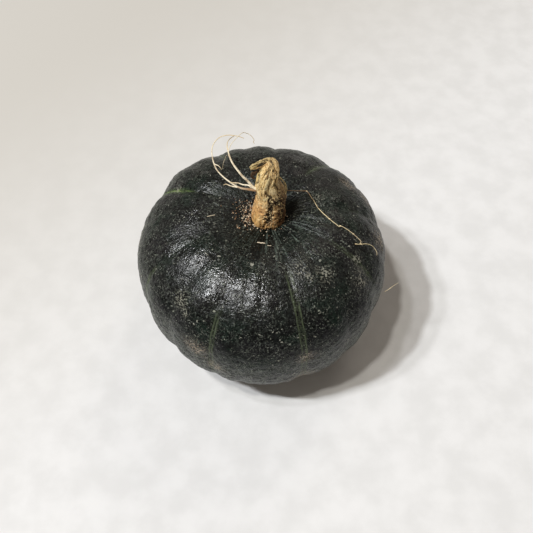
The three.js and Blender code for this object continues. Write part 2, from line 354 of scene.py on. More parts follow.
def make_piece(name, grids, tones, flipped=False):
    """One mesh from grids of points, rows by columns. Tones maps an attribute's name to its grids."""
    faces, start = [], 0
    for grid in grids:
        rows, columns = grid.shape[:2]
        faces += grid_faces(rows, columns, start)
        start += rows * columns + 2
    if flipped:
        faces = [face[::-1] for face in faces]
    mesh = bpy.data.meshes.new(name)
    mesh.from_pydata(np.concatenate([closed(grid) for grid in grids]) * MM, [], faces)
    for tone, parts in tones.items():
        values = np.concatenate([closed(part) for part in parts])
        kind, field = ("FLOAT", "value") if values.shape[1] == 1 else ("FLOAT_VECTOR", "vector")
        mesh.attributes.new(tone, kind, "POINT").data.foreach_set(field, values.ravel().astype(np.float32))
    mesh.shade_smooth()
    mesh.validate()
    return put(name, mesh)


# The rind

def outline(polar):
    """The smooth half outline: reach from the axis, and height over the widest ring. Each quarter is a full
    ellipse, and a bell sinks its end."""
    reach = GIRTH_RADIUS * np.abs(np.sin(polar)) ** (2 / SIDE_FULLNESS)
    rise = np.abs(np.cos(polar))
    upper = HALF_HEIGHT * rise ** (2 / SHOULDER_FULLNESS) - CROWN_DEPTH * bell(reach, CROWN_REACH)
    scar = SCAR_RISE * np.exp(-((reach / SCAR_RADIUS) ** 4))
    lower = BLOSSOM_DEPTH * bell(reach, BLOSSOM_REACH) - HALF_HEIGHT * rise ** (2 / UNDER_FULLNESS) - scar
    return reach, np.where(polar < math.pi / 2, upper, lower)


OUTLINE_ANGLES = np.linspace(0, math.pi, 4001)
OUTLINE_ARC = np.concatenate([[0], np.cumsum(np.hypot(*(np.diff(way) for way in outline(OUTLINE_ANGLES))))])


def arc_from_crown(polar):
    """Length of the smooth outline from the crown to an angle."""
    return np.interp(polar, OUTLINE_ANGLES, OUTLINE_ARC)


def outline_normal(polar):
    """Outward unit vector of the outline: its slope by a small step, turned a quarter."""
    step = 1e-4
    ahead, behind = outline(polar + step), outline(polar - step)
    run, rise = ahead[0] - behind[0], ahead[1] - behind[1]
    size = np.hypot(run, rise) + 1e-12
    return -rise / size, run / size


def across_lobe(azimuth):
    """The lobe that an azimuth lies in, and how far across it, from 0 at its furrow to 1 at the next one."""
    turned = LOBE_STARTS[0] + (azimuth - LOBE_STARTS[0]) % 360
    lobe = np.searchsorted(LOBE_STARTS, turned, side="right") - 1
    return lobe, (turned - LOBE_STARTS[lobe]) / LOBE_WIDTHS[lobe]


def flow_of(polar, azimuth, stretch):
    """Points on a drum of the fruit's girth, for noise along the meridians: their height is the length from
    the crown over the stretch."""
    return drum_points(np.radians(azimuth), arc_from_crown(polar) / stretch, GIRTH_RADIUS, 1)


def outline_place(polar, azimuth):
    """Points of the plain outline, for noise that is alike in every direction."""
    reach, height = outline(polar)
    turn = np.radians(azimuth)
    return np.stack([reach * np.cos(turn), reach * np.sin(turn), height], axis=-1)


def spots(polar, azimuth, places):
    """Sum of bells round places on the rind, at most 1."""
    total = np.zeros(polar.shape)
    arc = arc_from_crown(polar)
    for angle, turn, radius in places:
        along = arc - arc_from_crown(math.radians(angle))
        aside = np.radians(apart(azimuth, turn, 360)) * outline(polar)[0]
        total += bell(np.hypot(along, aside), radius)
    return np.minimum(total, 1)


def rind_wrinkles(polar, azimuth):
    """A net of creases between small cushions of skin: about -1 in a crease to 0.8 on a cushion."""
    smooth = outline_place(polar, azimuth)
    return 0.5 - crests(smooth, 4.2, 4) ** 2 + 0.6 * (0.5 - crests(smooth, 2.6, 5) ** 2)


# Heights of the rind's lumps, the pleats round the stem, the folds outside them, and the skin's dents
LUMP_HEIGHT = 0.3
PLEAT_HEIGHT = 0.28
FOLD_HEIGHT = 0.16
DENT_HEIGHT = 0.18
# Lengths from the crown to the pleats' and the folds' middles
PLEAT_PLACE = 13
FOLD_PLACE = 25
# Degrees that the furrows stray
WANDER = 3.0


def rind_relief(polar, azimuth):
    """Height of the rind over the outline: a lobe's swell and furrows, creases, lumps, pleats, folds and
    wrinkles, which fade towards the fruit's ends."""
    lobe, across = across_lobe(azimuth)
    fade = np.sin(polar)
    relief = SWELLS[lobe] * np.sin(math.pi * across) ** 2 * fade
    relief -= FURROW_DEPTH * np.abs(2 * across - 1) ** 3 * fade**0.8
    relief -= CREASE_DEPTH * bell(across - 0.5, CREASE_WIDTH) * fade
    for place, depth, width in MINOR_CREASES:
        relief -= depth * bell(apart(azimuth, place, 360), width) * fade**1.5
    arc = arc_from_crown(polar)
    smooth = outline_place(polar, azimuth)
    relief += LUMP_HEIGHT * noise(flow_of(polar, azimuth, 3), 9, 1) * fade
    relief += LUMP_HEIGHT * noise(smooth, 15, 2) * fade
    relief += BOSS_HEIGHT * spots(polar, azimuth, BOSSES)
    pleats = crests(flow_of(polar, azimuth, 6), 5.2, 3) - 0.4
    relief += PLEAT_HEIGHT * pleats * bell(arc - PLEAT_PLACE, 8)
    relief += FOLD_HEIGHT * noise(flow_of(polar, azimuth, 4), 7, 7) * bell(arc - FOLD_PLACE, 12)
    deep = 0.12 + 0.16 * smooth_step(np.degrees(polar), 48, 72)
    skin = deep * rind_wrinkles(polar, azimuth) + DENT_HEIGHT * noise(smooth, 5.5, 9)
    relief += skin * smooth_step(arc, 8, 26) * smooth_step(np.degrees(polar), 165, 135)
    return relief


def wander(polar, azimuth):
    """How far a furrow strays from its azimuth: slow noise, none at the widest ring."""
    strays = noise(flow_of(polar, azimuth, 1), 26, 6)
    return WANDER * strays * np.cos(polar) ** 2 * np.sin(polar)


def rind_point(polar, azimuth, lift=0):
    """Points of the rind for arrays of angle from the crown, in radians, and azimuth, lifted off it."""
    reach, height = outline(polar)
    out, up = outline_normal(polar)
    stand = rind_relief(polar, azimuth) + lift
    reach = reach + stand * out
    height = height + stand * up
    turn = np.radians(azimuth + wander(polar, azimuth))
    shift = np.where(polar < math.pi / 2, bell(reach, CROWN_SHIFT_REACH), 0)
    level = np.maximum(WIDEST_LEVEL + height, 0)
    return np.stack([reach * np.cos(turn) + CROWN_SHIFT[0] * shift,
                     reach * np.sin(turn) + CROWN_SHIFT[1] * shift, level], axis=-1)


def furrow_stripe(degrees, nearest):
    """Strength of the nearest furrow's pale stripe, which fades at its two ends."""
    start, end = STRIPE_STARTS[nearest], STRIPE_ENDS[nearest]
    begun = smooth_step(degrees, start - 6, start + 8)
    return STRIPES[nearest] * begun * smooth_step(degrees, end + 8, end - 8)


def make_fruit():
    """The rind in one piece: rows at even steps of length, columns even within a lobe. Behind is 1 at the
    back, where the side and edge bands, with their painted shade and painted reflection, reach nearer to the
    crown."""
    arc = np.linspace(0, OUTLINE_ARC[-1], FRUIT_ROWS + 2)[1:-1]
    share = np.linspace(0, 1, COLUMNS_PER_LOBE, endpoint=False)
    azimuth = (LOBE_STARTS[:, None] + LOBE_WIDTHS[:, None] * share).ravel()
    polar, azimuth = np.meshgrid(np.interp(arc, OUTLINE_ARC, OUTLINE_ANGLES), azimuth, indexing="ij")
    lobe, across = across_lobe(azimuth)
    reach, arc, degrees = outline(polar)[0], arc_from_crown(polar), np.degrees(polar)
    width = np.radians(LOBE_WIDTHS[lobe]) * reach
    nearest = np.where(across < 0.5, lobe, (lobe + 1) % len(FURROWS))
    behind = np.sin(np.radians(azimuth))
    tones = {
        "gap": np.minimum(across, 1 - across) * width * MM,
        "spread": LINE_SPREADS[nearest] * MM,
        "green": GREENS[nearest],
        "stripe": furrow_stripe(degrees, nearest),
        "streaks": bell(np.maximum(arc - 17, 0), 9) * (0.15 + 0.85 * bell(azimuth + 48, 50)),
        "hollow": bell(arc, 20),
        "ridge": rind_wrinkles(polar, azimuth),
        "side": smooth_step(degrees + 20 * np.maximum(behind, 0), 46, 68),
        "edge": smooth_step(degrees + 18 * behind, 58, 80),
        "polish": spots(polar, azimuth, BOSSES),
        "blotch": spots(polar, azimuth, BLOTCHES),
        "tan": spots(polar, azimuth, TAN_PATCHES),
        "low": smooth_step(degrees, 112, 160),
        "scar": bell(reach, SCAR_RADIUS) * (polar > math.pi / 2),
        "flow": flow_of(polar, azimuth, 1) * MM,
    }
    grids = {name: [value] for name, value in tones.items()}
    return make_piece("fruit_rind", [rind_point(polar, azimuth)], grids, flipped=True)


# The stem

DRUM_RADIUS = 7

PIT_BANDS = (
    # count, turn from the first side and its spread, place along and its spread
    (80, -1.62, 0.16, 0.26, 0.1),
    (34, -0.95, 0.3, 0.4, 0.05),
    (56, -0.7, 0.4, 0.24, 0.09),
    (24, 1.8, 1.2, 0.2, 0.1),
)
PIT_RADIUS = 0.34
PIT_DEPTH = 0.65

# Trenches where the cork has crumbled away: turn and its half width, place along, its half height, and depth
TRENCHES = (
    (-1.62, 0.24, 0.26, 0.17, 0.85),
    (-0.95, 0.3, 0.41, 0.06, 0.7),
    (-0.62, 0.3, 0.24, 0.14, 0.5),
    (2.1, 0.2, 0.24, 0.12, 0.6),
)
FRONT_TRENCHES = 3

# Coloured patches of the stem: tone, strength, turn and its half width, place along and its half height
STEM_PATCHES = (
    ("olive", 1, math.pi, 0.75, 0.7, 0.13),
    ("olive", 1, -0.95, 0.35, 0.6, 0.09),
    # Partly painted light: the gold patch brightens the stem's lower left, the side that faces the lamps.
    ("gold_and_lit", 1, -2.6, 0.9, 0.12, 0.22),
    # Painted shade: this brown patch darkens the upper stem's right side, away from the lamps.
    ("brown_and_shade", 0.95, 0.1, 0.4, 0.64, 0.14),
    ("cream", 0.6, -1.8, 0.7, 0.64, 0.15),
)
STEM_TONES = ("groove", "pit", "up", "gold_and_lit", "straw", "olive", "brown_and_shade", "cream")

SHRED_SIDES = 24
SHRED_RINGS = 60
STEM_GRAINS = 240
GRAIN_SIZES = (0.1, 0.26)


def stem_drum(turn, along):
    """Points on a drum of the stem's size."""
    return drum_points(turn, along, DRUM_RADIUS, STEM_LENGTH)


def stem_pits(turn, along):
    """Small round holes drawn at random in the crumbled bands, from 0 to 1."""
    draw = np.random.default_rng(21)
    pits = np.zeros(np.broadcast_shapes(turn.shape, along.shape))
    for count, turn_middle, turn_spread, along_middle, along_spread in PIT_BANDS:
        for _ in range(count):
            at_turn = draw.normal(turn_middle, turn_spread)
            at_along = np.clip(draw.normal(along_middle, along_spread), 0.05, 0.5)
            size = PIT_RADIUS * draw.uniform(0.6, 1.5)
            off = np.hypot(apart(turn, at_turn) * DRUM_RADIUS, (along - at_along) * STEM_LENGTH * 0.8)
            pits = np.maximum(pits, bell(off, size))
    return pits


def stem_trenches(turn, along):
    """Depth of the crumbled trenches: bells with ragged edges."""
    ragged = noise(stem_drum(turn, along), 1.6, 16)
    depth = np.zeros(ragged.shape)
    for middle, half_width, place, half_height, deep in TRENCHES:
        aside = apart(turn + 0.15 * ragged, middle) / half_width
        above = (along - place) / half_height + 0.3 * ragged
        depth = np.maximum(depth, deep * bell(aside, 1) * bell(above, 1))
    return depth


def stem_grooves(turn, along):
    """Broad ribs with sharp, broken grooves between them, then cracks and crumbs: noise stretched lengthwise,
    whose zero lines are the grooves. All are strongest above, where the cork has shrunk most."""
    bend = 0.3 * noise(stem_drum(turn, along) * (1, 1, 0.7), 4, 17)
    drum = stem_drum(turn + 0.5 * along + bend, along)
    long = drum * (1, 1, 0.16)
    upper = smooth_step(along, 0.32, 0.5)
    broken = np.clip(0.8 + 1.1 * noise(drum * (1, 1, 0.5), 4, 15), 0, 1.3)
    folds = 0.7 * noise(long, 3.2, 10)
    crevices = 0.25 - 1.1 * crests(long, 2.5, 11) ** 3 * broken
    cracks = (0.15 - 0.6 * crests(drum * (1, 1, 0.26), 1.2, 18) ** 3) * (0.25 + 0.85 * upper)
    crumbs = 0.2 * noise(drum, 1.3, 13) + 0.13 * noise(drum, 0.65, 14)
    return folds * (0.2 + 0.7 * upper) + crevices * (0.25 + 0.75 * upper) + cracks + crumbs


def stem_relief(turn, along):
    """Grooves, pits and trenches. They fade at the foot and the crest, where the stem is thin."""
    fade = np.minimum(1, np.minimum(12 * along, 0.25 + 4 * (1 - along)))
    pits = PIT_DEPTH * stem_pits(turn, along)
    return (stem_grooves(turn, along) - pits - stem_trenches(turn, along)) * fade


def stem_masks(turn, along):
    """The stem's tones: its patches, brown painted shade on the right side away from the lamps, grooves, pits
    and height.
    """
    masks = {
        "groove": stem_grooves(turn, along),
        "pit": np.maximum(stem_pits(turn, along), 1.5 * stem_trenches(turn, along)),
        "up": along,
        # Painted shade: the right side, away from the lamps, is darkened brown.
        "brown_and_shade": 0.95 * bell(apart(turn, -0.45), 0.8) * smooth_step(along, 0.75, 0.35),
    }
    for tone, strength, middle, half_width, place, half_height in STEM_PATCHES:
        patch = strength * bell(apart(turn, middle), half_width) * bell(along - place, half_height)
        masks[tone] = np.maximum(masks.get(tone, 0), patch)
    return masks


def torn(radius, flatness, seed):
    """Relief of a shred: a tube flattened from two sides, with ragged ribs along it and crumbly edges."""
    def relief(turn, along):
        drum = drum_points(turn, along, 2, 9)
        ribs = crests(drum * (1, 1, 0.3), 1.2, seed) - 0.6
        return radius * (0.6 * ribs + 0.25 * noise(drum, 0.9, seed + 50) - flatness * np.sin(turn) ** 2)
    return relief


def grain(draw, place, size):
    """A rough ball: three rings of six points, moved in or out, stretched and turned at random."""
    around = np.linspace(0, 2 * math.pi, 6, endpoint=False)[None, :]
    up = np.array([-0.75, -0.1, 0.6])[:, None]
    ball = drum_points(around, up, np.sqrt(1 - up**2), 1)
    ball = ball * draw.uniform(0.65, 1.3, size=ball.shape[:2])[..., None]
    stretch = draw.uniform(0.6, 1.4, size=3)
    spin = np.array(Matrix.Rotation(draw.uniform(0, 6.3), 3, Vector(draw.normal(size=3)).normalized()))
    return place + (ball * stretch * size) @ spin.T


def make_stem():
    """The stem: a tube with its relief, the shreds at its top, and pale grains that cling in the trenches."""
    grids, tones = [], {tone: [] for tone in (*STEM_TONES, "drum")}

    def add_grid(grid, drum, **masks):
        grids.append(grid)
        tones["drum"].append(drum)
        for tone in STEM_TONES:
            tones[tone].append(np.broadcast_to(masks.get(tone, 0), grid.shape[:2]))

    body = rod(STEM_STATIONS, STEM_SIDES, STEM_RINGS, stem_relief)
    turn, along = tube_grid(STEM_SIDES, STEM_RINGS)
    add_grid(body, stem_drum(turn, along) * MM, **stem_masks(turn, along))
    turn, along = tube_grid(SHRED_SIDES, SHRED_RINGS)
    for number, (kind, flatness, stations) in enumerate(STEM_SHREDS):
        relief = torn(max(station[3] for station in stations), flatness, 30 + number)
        drum = (stem_drum(turn, along) + 9 * number) * MM
        masks = {"up": 0.7, "groove": 0.2 + 2.4 * relief(turn, along), kind: 1}
        add_grid(rod(stations, SHRED_SIDES, SHRED_RINGS, relief), drum, **masks)
    draw = np.random.default_rng(11)
    for _ in range(STEM_GRAINS):
        middle, half_width, place, half_height, _ = TRENCHES[draw.integers(FRONT_TRENCHES)]
        at_turn = draw.normal(middle, 0.8 * half_width)
        at_along = np.clip(draw.normal(place, 0.7 * half_height), 0.04, 0.5)
        side = int((at_turn + math.pi) / (2 * math.pi) * STEM_SIDES) % STEM_SIDES
        lump = grain(draw, body[int(at_along * STEM_RINGS), side], draw.uniform(*GRAIN_SIZES))
        add_grid(lump, np.full(lump.shape, 10 * MM), up=0.3, cream=draw.uniform(0, 1) ** 2)
    return make_piece("stem_cork", grids, tones)


# The tendrils

# A loose hair over the right edge: x, y, z and radius
RIGHT_HAIR = ((55.4, -20.0, 47.5, 0.1), (57.4, -19.6, 49.4, 0.11), (59.0, -19.2, 51.4, 0.1),
              (61.0, -18.6, 53.0, 0.07))

# Radii of the branch: its swollen root, and its last stations, which run thin
BRANCH_ROOT = (0.2, 0.32, 0.3, 0.24)
BRANCH_TIP = (0.15, 0.09)
BRANCH_TIP_STATIONS = 8

# A knot: x, y and z from its middle, and radius. Then the stations of the strand and the branch that have one
KNOT = np.array(((-0.5, 0.3, 0, 0.1), (0, 0, 0, 0.3), (0.5, -0.3, 0, 0.1)))
STRAND_KNOTS = (1, 20, 27, 34)
BRANCH_KNOT = 7


def twisted(radius, seed):
    """Relief of a dried tendril: three flats that wind round it, and fine lengthwise shrinking."""
    def relief(turn, along):
        drum = drum_points(turn, along, 1, 9)
        return radius * (0.12 * np.cos(3 * turn + 9 * along) + 0.22 * noise(drum, 0.9, seed))
    return relief


def make_strands(name, strands, reliefs, sides, rings_per_leg, brown_roots, brown_reach):
    """One piece from several strands. Its tones: how far along its strand a point is, and brown roots."""
    grids = [rod(stations, sides, rings_per_leg * (len(stations) - 1), relief)
             for stations, relief in zip(strands, reliefs)]
    along = [np.broadcast_to(np.linspace(0, 1, len(grid))[:, None], grid.shape[:2]) for grid in grids]
    root = [smooth_step(share, *brown_reach) * (number in brown_roots) for number, share in enumerate(along)]
    return make_piece(name, grids, {"along": along, "root": root})


def make_left_tendril():
    """Two long strands from one root at the stem's left, with a thin branch, shreds and broken ends."""
    reliefs = [twisted(0.4 * stations[0][3], 40 + number) for number, stations in enumerate(LEFT_STRANDS)]
    return make_strands("tendril_left_strands", LEFT_STRANDS, reliefs, sides=14, rings_per_leg=9,
                        brown_roots=(1, 3, 4), brown_reach=(0.3, 0.08))


def laid(route, radius, start=0.0):
    """Stations of a strand that lies on the rind along a spline, lifted by its radius, more at its start."""
    steps = 4 * (len(route) - 1)
    route = spline(np.array(route, float), steps, clamped=True)
    rise = start * np.maximum(0, 1 - 4 * np.linspace(0, 1, steps + 1)) ** 2
    places = rind_point(np.radians(route[:, 0]), route[:, 1], radius + CLEARANCE + rise)
    return np.column_stack([places, np.full(len(places), radius)])


def make_right_tendril():
    """A thin strand from behind the stem over the rind, a branch where it broke, a loose hair, and knots."""
    lying = laid(RIGHT_ROUTE, RIGHT_RADIUS, start=0.3)
    strand = np.concatenate([[(*place, RIGHT_RADIUS) for place in RIGHT_ROOT], lying])
    branch = laid(RIGHT_BRANCH, RIGHT_RADIUS * 0.85, start=0.9)
    branch[:len(BRANCH_ROOT), 3] = BRANCH_ROOT
    branch[-BRANCH_TIP_STATIONS:, 3] = np.linspace(*BRANCH_TIP, BRANCH_TIP_STATIONS)
    knots = [KNOT + (*place[:3], 0) for place in (*lying[list(STRAND_KNOTS)], branch[BRANCH_KNOT])]
    strands = (strand, branch, RIGHT_HAIR, *knots)
    reliefs = [twisted(0.09, 60 + number) for number in range(len(strands))]
    return make_strands("tendril_right_strands", strands, reliefs, sides=12, rings_per_leg=5,
                        brown_roots=(0,), brown_reach=(0.4, 0.1))


# Crumbs of cork round the stem's foot

CRUMB_COUNT = 320
CRUMB_SIZES = (0.1, 0.34)
# Share of the crumbs at the stem's left, the azimuth of their middle and its spread
LEFT_SHARE = 0.72
LEFT_AZIMUTH = 173
LEFT_SPREAD = 27
# Reach of the stem's foot, and how far past it the crumbs lie, at the left or not
FOOT_REACH = 7.4
LEFT_STREWN = 3.6
STREWN = 1.4

SLIVERS = (
    # angle from the crown and azimuth of the two ends, and radius
    ((13.4, -105), (13.7, -91), 0.24),
    ((14.6, -88), (15.0, -82), 0.12),
    ((19.8, -179), (23.3, -177.5), 0.14),
)
SLIVER_SIDES = 8
SLIVER_RINGS = 24


def make_crumbs():
    """Grains of cork on the rind, drawn at random round the stem's foot, most of them on its left."""
    draw = np.random.default_rng(5)
    grids, shades = [], []
    upper = OUTLINE_ANGLES[:len(OUTLINE_ANGLES) // 2]
    reaches = outline(upper)[0]
    for _ in range(CRUMB_COUNT):
        left = draw.random() < LEFT_SHARE
        turn = draw.normal(LEFT_AZIMUTH, LEFT_SPREAD) if left else draw.uniform(0, 360)
        reach = FOOT_REACH + abs(draw.normal(0, LEFT_STREWN if left else STREWN))
        size = draw.uniform(*CRUMB_SIZES)
        polar = np.interp(reach, reaches, upper)
        place = rind_point(np.array([polar]), np.array([turn]), 0.4 * size)[0]
        lump = grain(draw, place, size)
        grids.append(lump)
        shades.append(np.full(lump.shape[:2], draw.random()))
    return make_piece("stem_crumbs", grids, {"shade": shades})


def make_slivers():
    """Short torn fibres of the stem that lie on the rind."""
    grids = []
    for number, (one, other, radius) in enumerate(SLIVERS):
        middle = ((one[0] + other[0]) / 2, (one[1] + other[1]) / 2)
        stations = laid((one, middle, other), radius)
        stations[[0, -1], 3] = 0.3 * radius
        grids.append(rod(stations, SLIVER_SIDES, SLIVER_RINGS, twisted(0.6 * radius, 80 + number)))
    return make_piece("stem_slivers", grids, {"shade": [np.full(grid.shape[:2], 0.9) for grid in grids]})


# Finishes

def linear(colour):
    """An sRGB hex colour as linear light. Any other stays as it is."""
    if not isinstance(colour, str):
        return colour
    values = [int(colour[i:i + 2], 16) / 255 for i in (1, 3, 5)]
    return (*(v / 12.92 if v <= 0.04045 else ((v + 0.055) / 1.055) ** 2.4 for v in values), 1.0)


def fill(tree, node, inputs):
    """Sets a node's inputs: each is a value, a socket, or a node whose first output is meant."""
    for name, value in inputs.items():
        if isinstance(value, bpy.types.Node):
            value = value.outputs[0]
        if isinstance(value, bpy.types.NodeSocket):
            tree.links.new(value, node.inputs[name])
        else:
            node.inputs[name].default_value = value


def add(tree, kind, inputs=None, **settings):
    """Adds a shader node: settings are its properties, and its inputs are filled."""
    made = tree.nodes.new("ShaderNode" + kind)
    for name, value in settings.items():
        setattr(made, name, value)
    fill(tree, made, inputs or {})
    return made


# Sockets of a Mix node set to colours. A node or socket has its tree as id_data
SHARE, UNDER, OVER, MIXED = 0, 6, 7, 2


def per_metre(size):
    """A pattern's scale for features of a size in millimetres."""
    return 1 / (size * MM)


def window(value, start, end):
    """A mask: 0 where the value is before start, and 1 past end."""
    ends = {"Value": value, "From Min": start, "From Max": end}
    return add(value.id_data, "MapRange", ends, interpolation_type="SMOOTHSTEP")


def from_middle(value):
    """How far a noise is from its middle value: 0 on the lines where it crosses it."""
    centred = add(value.id_data, "Math", {0: value, 1: 0.5}, operation="SUBTRACT")
    return add(value.id_data, "Math", {0: centred}, operation="ABSOLUTE")


def times(product, *values):
    """The product of several masks."""
    for value in values:
        product = add(product.id_data, "Math", {0: product, 1: value}, operation="MULTIPLY")
    return product


def coats(base, *layers):
    """Lays colours over a base one. Each layer has a mask, how strong it is, and a colour."""
    colour = linear(base)
    for mask, strength, over in layers:
        mixed = {SHARE: times(mask, strength), UNDER: colour, OVER: linear(over)}
        colour = add(mask.id_data, "Mix", mixed, data_type="RGBA").outputs[MIXED]
    return colour


def new_material(name, *tones):
    """A material with only its shader and output, its tree, the place on it, and the mesh's tones."""
    material = bpy.data.materials.new(name)
    material.use_nodes = True
    tree = material.node_tree
    tree.nodes.clear()
    shader = add(tree, "BsdfPrincipled")
    add(tree, "OutputMaterial", {"Surface": shader})
    here = add(tree, "TexCoord").outputs["Object"]
    tone = {name: add(tree, "Attribute", attribute_name=name).outputs["Fac"] for name in tones}
    return material, tree, shader, here, tone


RIND_TONES = ("gap", "spread", "green", "stripe", "streaks", "hollow", "ridge", "side", "edge", "polish",
              "blotch", "tan", "low", "scar")

# Noise patterns of the rind: stretch along the meridians, or 0 where alike in every direction, then size of
# features, detail, roughness and distortion
RIND_PATTERNS = {
    "clouds": (0, 9, 3, 0.5, 0),
    "crowd": (0, 6.5, 2, 0.5, 0),
    "tints": (0, 14, 2, 0.5, 0.6),
    "mottle": (0, 0.95, 3, 0.65, 0),
    "fleck": (0, 0.8, 2, 0.55, 0.4),
    "flake": (0, 1.7, 3, 0.6, 0.6),
    "curl": (0, 1.7, 1, 0.5, 1.2),
    "wide_curl": (0, 3.2, 2, 0.6, 1.0),
    "facet": (0, 2.0, 1, 0.5, 0.9),
    "skin": (0, 0.8, 1, 0.5, 0),
    "sway": (0, 2.4, 2, 0.5, 0),
    "dash": (0.3, 1.1, 2, 0.6, 0),
    "combed": (0.14, 3.0, 3, 0.65, 0),
    "ragged": (0.3, 1.6, 3, 0.5, 0),
}
SWAY = 1.6


def rind_fields(tree, here, field):
    """Adds to the rind's tones its patterns, a place that sways a little for its nets, and two kinds of corky
    flecks, thick in some places and rare in others."""
    flow = add(tree, "Attribute", attribute_name="flow").outputs["Vector"]
    for name, (stretch, size, detail, roughness, distortion) in RIND_PATTERNS.items():
        place = add(tree, "Mapping", {"Vector": flow, "Scale": (1, 1, stretch)}) if stretch else here
        field[name] = add(tree, "TexNoise", {"Vector": place, "Scale": per_metre(size), "Detail": detail,
                                             "Roughness": roughness, "Distortion": distortion})
    sway = field["sway"].outputs["Color"]
    moved = add(tree, "VectorMath", {0: sway, "Scale": SWAY * MM}, operation="SCALE")
    field["swayed"] = add(tree, "VectorMath", {0: here, 1: moved}, operation="ADD")
    crowds = add(tree, "SeparateColor", {0: field["crowd"].outputs["Color"]})
    in_flecks, field["crowd"], in_flakes = crowds.outputs
    field["flecks"] = times(window(field["fleck"], 0.62, 0.69), window(in_flecks, 0.42, 0.6))
    field["flakes"] = times(window(field["flake"], 0.66, 0.7), window(in_flakes, 0.44, 0.6))


def ground_colour(field):
    """Near-black green in clouds and faint tints, mottled, with painted shade darkest in the wrinkles'
    creases on the sides and in the hollow round the stem.
    """
    mottle, tints = field["mottle"], field["tints"]
    return coats(
        "#0f1312",
        (window(field["clouds"], 0.35, 0.65), 1, "#0a0c0b"),
        (window(tints, 0.48, 0.64), 0.8, "#101e17"),
        (window(tints, 0.46, 0.34), 0.6, "#161318"),
        (window(mottle, 0.56, 0.68), 0.4, "#2b332d"),
        (window(mottle, 0.49, 0.4), 0.95, "#010202"),
        # Painted shade: darkens the hollow round the stem.
        (field["hollow"], 0.95, "#020302"),
        # Painted shade: darkens the wrinkles' creases on the sides.
        (times(field["side"], window(field["ridge"], 0.1, -0.3)), 0.9, "#010202"),
    )


def pale_curls_and_glints(tree, field, colour):
    """Curly pale lines on the finest wrinkles, strongest on the sides, and wide ones in a faint grey band at
    the
    edge: partly pale skin and wax bloom, partly painted glints on the wrinkles' ridges and painted reflection
    along the rim."""
    mottle, edge = field["mottle"], field["edge"]
    thin = window(from_middle(field["curl"]), 0.032, 0.006)
    thin = times(thin, window(mottle, 0.44, 0.54))
    wide = window(from_middle(field["wide_curl"]), 0.05, 0.012)
    side_share = add(tree, "MapRange", {"Value": field["side"], "To Min": 0.25, "To Max": 0.5})
    return coats(
        colour,
        # Painted reflection: a grey haze and pale curls in the rim band, partly wax bloom.
        (times(edge, window(mottle, 0.4, 0.6)), 0.2, "#4c524b"),
        (times(thin, edge), 0.6, "#8e9288"),
        (times(wide, window(mottle, 0.4, 0.5), edge), 0.6, "#8a8e84"),
        # Partly painted glints: pale curls on the wrinkles, strongest on the sides.
        (times(thin, window(field["crowd"], 0.36, 0.58)), side_share, "#767c72"),
    )


def scratches(tree, field, colour):
    """Short pale scratches, pieces of a net and dashes along the skin, then streaks out from the stem."""
    cells = {"Vector": field["swayed"], "Scale": per_metre(2.3)}
    net = add(tree, "TexVoronoi", cells, feature="DISTANCE_TO_EDGE")
    worn = times(window(field["fleck"], 0.48, 0.6), window(field["clouds"], 0.4, 0.6))
    combed = times(window(field["combed"], 0.53, 0.65), field["streaks"])
    return coats(
        colour,
        (times(window(net, 0.08, 0.02), worn), 0.55, "#696f64"),
        (times(window(field["dash"], 0.6, 0.7), window(field["crowd"], 0.46, 0.62)), 0.6, "#5a6159"),
        (times(combed, window(field["mottle"], 0.36, 0.6)), 1, "#69756b"),
    )


def furrow_lines(tree, field, colour):
    """Two broken lines beside each furrow, in a faint wider band."""
    ragged, stripe, green = field["ragged"], field["stripe"], field["green"]
    stray = add(tree, "MapRange", {"Value": ragged, "To Min": -0.9 * MM, "To Max": 0.9 * MM})
    from_furrow = add(tree, "Math", {0: field["gap"], 1: stray}, operation="ADD")
    off = add(tree, "Math", {0: from_furrow, 1: field["spread"]}, operation="SUBTRACT")
    from_line = add(tree, "Math", {0: off}, operation="ABSOLUTE")
    line = times(window(from_line, 0.5 * MM, 0.15 * MM), stripe, window(ragged, 0.34, 0.5))
    band = times(window(from_furrow, 2.4 * MM, 0.3 * MM), stripe, window(field["mottle"], 0.4, 0.55))
    return coats(
        colour,
        (band, 0.65, coats("#353a2b", (green, 1, "#43572e"))),
        (line, 0.7, coats("#525b48", (green, 1, "#74874e"))),
    )


def corky_marks(tree, field, colour):
    """Tan patches and a brown underside, then corky flecks and a few larger dots, and pale blotches."""
    fleck, tan = field["fleck"], field["tan"]
    cells = add(tree, "TexVoronoi", {"Vector": field["swayed"], "Scale": per_metre(5)})
    rare = add(tree, "SeparateColor", {0: cells.outputs["Color"]}).outputs[1]
    return coats(
        colour,
        (times(tan, window(field["mottle"], 0.36, 0.6)), 0.5, "#6d6456"),
        (times(field["low"], window(field["clouds"], 0.38, 0.62)), 0.55, "#5b4f35"),
        (field["flecks"], 0.7, "#8f9387"),
        (field["flakes"], 0.8, "#b2b1a3"),
        (times(window(cells, 0.12, 0.06), window(rare, 0.78, 0.95)), 0.7, "#a5a898"),
        (times(field["blotch"], window(fleck, 0.5, 0.6)), 0.7, "#a9a797"),
        (times(tan, window(fleck, 0.52, 0.6)), 0.9, "#b9a993"),
        (field["scar"], 0.9, "#8a744f"),
    )


def rind_bumps(tree, field):
    """Wrinkles finer than the mesh: small facets with curly creases between them, then grain, lines along the
    skin, and the flecks' own relief."""
    layers = (
        # height, its size in millimetres, and strength
        (from_middle(field["facet"]), 0.48, 1.0),
        (field["skin"], 0.13, 1.0),
        (field["dash"], 0.18, 1.0),
        (add(tree, "Math", {0: field["flecks"], 1: field["flakes"]}, operation="MAXIMUM"), 0.08, 0.7),
    )
    below = {}
    for height, size, strength in layers:
        bumped = add(tree, "Bump", {"Height": height, "Distance": size * MM, "Strength": strength, **below})
        below = {"Normal": bumped}
    return bumped


